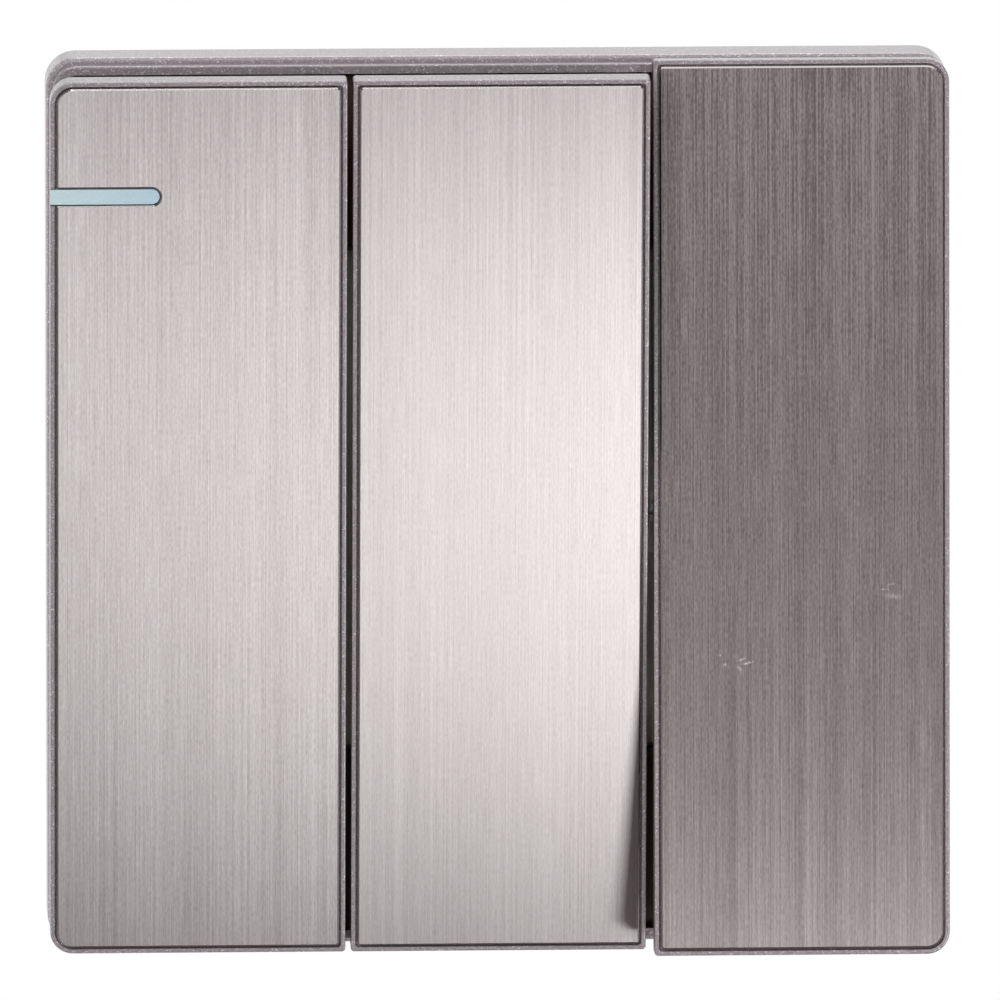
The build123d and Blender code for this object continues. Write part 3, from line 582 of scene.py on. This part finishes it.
def coil_points(low, high):
    """A round wire wound about Y. The angle grows along it, and reach is how far a point is from the axis."""
    along = np.linspace(0, 1, TURNS * TURN_STEPS + 1)[:, None]
    around = np.linspace(0, 2 * np.pi, WIRE_STEPS, endpoint=False)
    angle = 2 * np.pi * TURNS * along
    middle = (low + high) / 2
    reach = (high[0] - low[0] - WIRE) / 2 + WIRE / 2 * np.cos(around)
    x = middle[0] + reach * np.cos(angle)
    y = low[1] + WIRE / 2 + along * (high[1] - low[1] - WIRE) + WIRE / 2 * np.sin(around)
    z = middle[2] + reach * np.sin(angle)
    return np.stack([x, y, z], axis=-1).reshape(-1, 3)


def coil_faces():
    """Quads between neighbouring rings of the wire, and a cap at each end."""
    grid = np.arange((TURNS * TURN_STEPS + 1) * WIRE_STEPS).reshape(-1, WIRE_STEPS)
    beside = np.roll(grid, -1, axis=1)
    quads = np.stack([grid[:-1], beside[:-1], beside[1:], grid[1:]], axis=-1).reshape(-1, 4)
    return quads.tolist() + [grid[0, ::-1].tolist(), grid[-1].tolist()]


for gang in GANGS:
    node = "plunger_spring_" + gang
    low, high = level_box(gang, node)
    turn = hinge_turn(gang, 1)
    points = coil_points(low, high) @ turn[:3, :3].T + turn[:3, 3]
    spring = add_mesh("coil_spring_" + gang, points, coil_faces(), finishes["spring_steel"])
    spring.data.polygons.foreach_set("use_smooth", np.ones(len(spring.data.polygons), dtype=bool))
    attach(spring, "key_" + gang)
    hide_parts(node)
    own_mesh(spring)

# %% [markdown]
# ## White studio
# The photograph is cut out on white. The floor lies below the switch: near it the floor is plain pale
# paper that keeps its shadow, and further out it turns to pure white for the camera and for
# reflections, so that no horizon shows. It is clear from below, for views of the underside. The world is
# white to the camera, too, and lends only a soft fill to dull surfaces.

# %% Floor and world
FLOOR_Z = -0.20
FLOOR_HALF = 2.0
PAPER_RADIUS, WHITE_RADIUS = 0.12, 0.40
WORLD_FILL = 0.30


def add_stage(name, points, faces, finish):
    """A mesh for the stage, which is no part of the switch; it is made like any other mesh."""
    made = add_mesh(name, points, faces, finish)
    return made


def seen_rays(tree):
    """One for a camera, mirror or glass ray, and zero for the rays that light dull surfaces."""
    path = add(tree, "LightPath")
    camera, glossy = path.outputs["Is Camera Ray"], path.outputs["Is Glossy Ray"]
    seen = add(tree, "Math", {0: camera, 1: glossy}, operation="MAXIMUM")
    return add(tree, "Math", {0: seen, 1: path.outputs["Is Transmission Ray"]}, operation="MAXIMUM")


paper, tree = new_finish("paper_white")
place = add(tree, "TexCoord").outputs["Object"]
radius = add(tree, "VectorMath", {0: place}, operation="LENGTH").outputs["Value"]
whiter = add(tree, "MapRange", {
    "Value": radius, "From Min": PAPER_RADIUS, "From Max": WHITE_RADIUS,
}, interpolation_type="SMOOTHSTEP")
share = add(tree, "Math", {0: whiter, 1: seen_rays(tree)}, operation="MULTIPLY")
sheet = add(tree, "BsdfDiffuse", {"Color": linear("#F1F0EE")})
white = add(tree, "Emission", {"Color": linear("#FFFFFF"), "Strength": 1.0})
blend = add(tree, "MixShader", {0: share, 1: sheet, 2: white})
clear = add(tree, "BsdfTransparent")
below = add(tree, "NewGeometry").outputs["Backfacing"]
one_sided = add(tree, "MixShader", {0: below, 1: blend, 2: clear})
add(tree, "OutputMaterial", {"Surface": one_sided})

corners = FLOOR_HALF * np.array([(-1, -1), (1, -1), (1, 1), (-1, 1)])
floor_points = np.column_stack([corners, np.full(4, FLOOR_Z)])
add_stage("floor", floor_points, [(0, 1, 2, 3)], paper)

world = bpy.data.worlds.new("white_studio")
world.use_nodes = True
world.node_tree.nodes.clear()
tree = world.node_tree
level = add(tree, "MapRange", {"Value": seen_rays(tree), "To Min": WORLD_FILL, "To Max": 1.0})
light = add(tree, "Background", {"Color": linear("#FFFFFF"), "Strength": level})
add(tree, "OutputWorld", {"Surface": light})
bpy.context.scene.world = world
print("floor at", FLOOR_Z, "m")

# %% [markdown]
# ## What the metal mirrors
# Brushed metal has no look of its own: it shows what stands in front of it. Tipped down, the left and
# middle plates mirror the table in front of the switch, and the right plate, tipped up, mirrors the
# dim room round the camera. A grey card, flat at first and then upright, stands for both. It is bent
# round the switch and shows in reflections only. High up it turns dark brown, like a ceiling out of the
# light, and draws a dark line along every rounded upper edge of the lacquer. Over the card's top edge
# the white world shows, as a light line in the plates' top bevels.

# %% Dim table and room
CARD_NEAR, CARD_FAR = 0.005, 0.60  # metres out from the Z axis
CARD_TOP = 0.575
CARD_LIFT = 0.001  # above the floor
CARD_HALF_ANGLE, CARD_STEPS = 72, 33
CEILING_FROM, CEILING_FULL = 0.12, 0.26  # heights in metres
DIM_LOW, DIM_HIGH = 0.12, 0.235  # brightness at the floor, and from the switch's middle upwards

room, tree = new_finish("dim_room")
place = add(tree, "TexCoord").outputs["Object"]
height = add(tree, "SeparateXYZ", {"Vector": place}).outputs["Z"]
dim = add(tree, "MapRange", {
    "Value": height, "From Min": FLOOR_Z, "From Max": 0, "To Min": DIM_LOW, "To Max": DIM_HIGH,
})
higher = add(tree, "MapRange", {"Value": height, "From Min": CEILING_FROM, "From Max": CEILING_FULL})
tone = add(tree, "Mix", {
    FACTOR: higher, COLOUR_A: linear("#FFEDF3"), COLOUR_B: linear("#5A463C"),
}, data_type="RGBA")
grey = add(tree, "Emission", {"Color": tone.outputs[MIXED], "Strength": dim})
add(tree, "OutputMaterial", {"Surface": grey})

angle = np.radians(np.linspace(-CARD_HALF_ANGLE, CARD_HALF_ANGLE, CARD_STEPS))
profile = [(CARD_NEAR, FLOOR_Z + CARD_LIFT), (CARD_FAR, FLOOR_Z + CARD_LIFT), (CARD_FAR, CARD_TOP)]
card_points = np.vstack([
    np.column_stack([reach * np.sin(angle), -reach * np.cos(angle), np.full(len(angle), z)])
    for reach, z in profile
])
step = np.arange(len(angle) - 1)
strip = np.column_stack([step, step + 1, step + 1 + len(angle), step + len(angle)])
card_faces = np.vstack([strip, strip + len(angle)])
card = add_stage("dim_room_card", card_points, card_faces.tolist(), room)
card.visible_camera = False
card.visible_diffuse = False
card.visible_shadow = False
print("card of", len(card_faces), "faces")

# %% [markdown]
# ## Soft lamps
# Large area lamps close to the switch give soft shadows. One hangs above and in front, a weaker one
# stands on each side, and one lights the back for the views from behind. A small low one on the right
# is what the left and middle plates mirror: the brushing draws it out sideways into a broad glow, and
# where the right key stands proud of its neighbour it leaves a dark wedge on the middle plate.

# %% Lamps
LAMPS = {  # place in metres, width, height, power in watts
    "key": ((-0.35, -0.85, 0.5), 0.6, 0.6, 8.0),
    "right_fill": ((0.85, -0.45, 0.35), 0.5, 0.5, 1.2),
    "left_fill": ((-0.9, -0.3, 0.2), 0.5, 0.5, 0.5),
    "back": ((0.15, 0.6, 0.9), 0.6, 0.6, 2.4),
    "low_right": ((0.193, -0.342, -0.124), 0.09, 0.086, 0.338),
}

for name, (position, width, height, power) in LAMPS.items():
    lamp = bpy.data.lights.new(name, "AREA")
    lamp.shape = "RECTANGLE"
    lamp.size = width
    lamp.size_y = height
    lamp.energy = power
    holder = bpy.data.objects.new(name, lamp)
    holder.location = position
    holder.rotation_euler = (-Vector(position)).to_track_quat("-Z", "Y").to_euler()
    holder.visible_camera = False
    bpy.context.scene.collection.objects.link(holder)
    print(name, "lamp,", power, "W")

# %% [markdown]
# ## Camera
# The tops of the keys show, and yet the upright edges hardly lean, so the camera looks down from far
# away through a long lens. Its place, direction and lens were fitted to the corners of the plates, to
# the frame's upper edge and to the outer sides.

# %% Camera
CAMERA_PLACE = Vector((-106.3, -2500, 455.5)) * MM
CAMERA_DOWN, CAMERA_YAW, CAMERA_ROLL = np.radians([10.336, 2.446, 0.050])
LENS_MM = 956.8

ahead = Vector((
    np.cos(CAMERA_DOWN) * np.sin(CAMERA_YAW),
    np.cos(CAMERA_DOWN) * np.cos(CAMERA_YAW),
    -np.sin(CAMERA_DOWN),
))
turn = ahead.to_track_quat("-Z", "Y").to_matrix() @ Matrix.Rotation(CAMERA_ROLL, 3, "Z")
lens = bpy.data.cameras.new("camera")
lens.lens = LENS_MM
camera = bpy.data.objects.new("camera", lens)
camera.location = CAMERA_PLACE
camera.rotation_euler = turn.to_euler()
bpy.context.scene.collection.objects.link(camera)
bpy.context.scene.camera = camera
bpy.context.scene.view_settings.view_transform = "Standard"
print("camera at", [round(x, 3) for x in camera.location])
